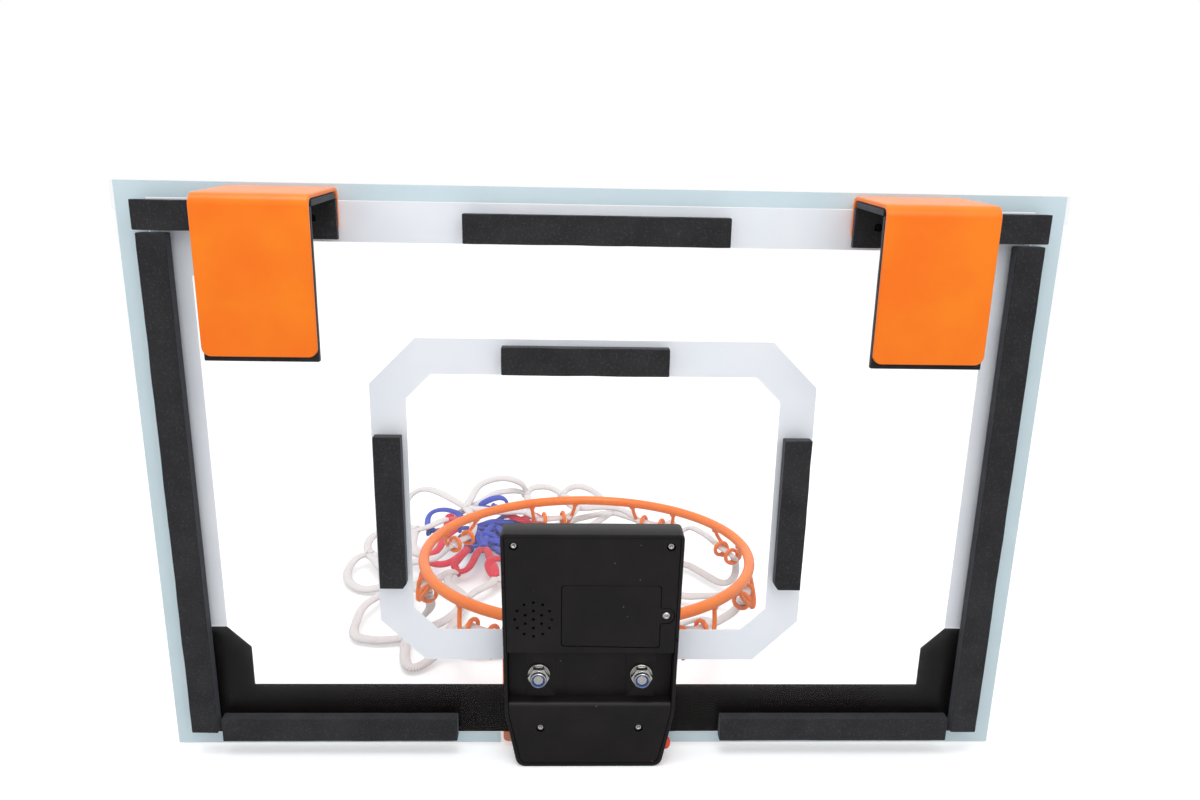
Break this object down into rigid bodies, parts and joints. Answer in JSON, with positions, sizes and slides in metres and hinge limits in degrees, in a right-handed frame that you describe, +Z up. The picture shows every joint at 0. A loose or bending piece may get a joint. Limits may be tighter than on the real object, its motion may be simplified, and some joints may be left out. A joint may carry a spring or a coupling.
{
  "type": "mini basketball hoop",
  "caption": "Over-the-door mini basketball hoop: clear printed board on foam-lined hooks, steel ring with a cord net, and a battery score unit behind the board.",
  "frame": {"origin": "on the top edge of the door, where the linings of the hooks rest, in the middle of the board's width and on the board's back face", "axes": "+Z up; +Y from the player through the board to the room behind the door; +X to the player's right as they face the board"},
  "size_m": [0.457, 0.3606, 0.3067],
  "materials": {
    "clear_acrylic": "clear polished sheet",
    "white_print": "screen printed",
    "black_print": "screen printed",
    "pale_print": "screen printed",
    "orange_coat": "gloss powder coat",
    "black_foam": "closed-cell foam",
    "zinc_steel": "bright zinc plate",
    "blue_nylon": "moulded",
    "net_cord": "braided flat cord",
    "black_abs": "fine spark texture",
    "smoked_window": "smoked",
    "display_face": "dark filter",
    "circuit_green": "solder mask",
    "speaker_black": "paper cone in a steel basket",
    "switch_black": "moulded",
    "cell_jacket": "plain wrapper",
    "nickel": "nickel plate",
    "red_plastic": "moulded"
  },
  "bodies": {
    "hoop": {"backboard": "clear_acrylic", "white_border_print": "white_print", "target_print": "white_print", "lower_band_print": "black_print", "edge_print": "pale_print", "door_hook_left": "orange_coat", "door_hook_right": "orange_coat", "rim_ring": "orange_coat", "rim_bracket": "orange_coat", "front_lining_left": "black_foam", "front_lining_right": "black_foam", "top_lining_left": "black_foam", "top_lining_right": "black_foam", "rear_lining_left": "black_foam", "rear_lining_right": "black_foam", "pad_top": "black_foam", "pad_corner_left": "black_foam", "pad_corner_right": "black_foam", "pad_side_left": "black_foam", "pad_side_right": "black_foam", "pad_bottom_left": "black_foam", "pad_bottom_right": "black_foam", "pad_target_top": "black_foam", "pad_target_left": "black_foam", "pad_target_right": "black_foam", "hook_screw_1": "zinc_steel", "hook_screw_2": "zinc_steel", "hook_screw_3": "zinc_steel", "hook_screw_4": "zinc_steel", "rim_bolt_left": "zinc_steel", "rim_bolt_right": "zinc_steel", "rim_washer_left": "zinc_steel", "rim_washer_right": "zinc_steel", "rim_lock_nut_left": "zinc_steel", "rim_lock_nut_right": "zinc_steel", "case_screw_1": "zinc_steel", "case_screw_2": "zinc_steel", "case_screw_3": "zinc_steel", "case_screw_4": "zinc_steel", "lock_nut_insert_left": "blue_nylon", "lock_nut_insert_right": "blue_nylon", "net": "net_cord", "case_shell": "black_abs", "case_back": "black_abs", "display_window": "smoked_window", "score_display": "display_face", "circuit_board": "circuit_green", "switch_board": "circuit_green", "speaker": "speaker_black", "button_switch": "switch_black", "battery_1": "cell_jacket", "battery_2": "cell_jacket", "battery_3": "cell_jacket", "contact_plus": "nickel", "contact_minus": "nickel", "contact_bridge_left": "nickel", "contact_bridge_right": "nickel"},
    "button": {"push_button": "red_plastic"},
    "cover": {"battery_cover": "black_abs", "battery_cover_screw": "zinc_steel"}
  },
  "joints": [
    {"name": "button_press", "type": "slide", "parent": "hoop", "child": "button", "axis": [1, 0, 0], "range_m": [0, 0.0012], "stiffness_N_per_m": 400, "springref_m": -0.001},
    {"name": "cover_lift_off", "type": "slide", "parent": "hoop", "child": "cover", "axis": [0, 1, 0], "range_m": [0, 0.03]}
  ]
}
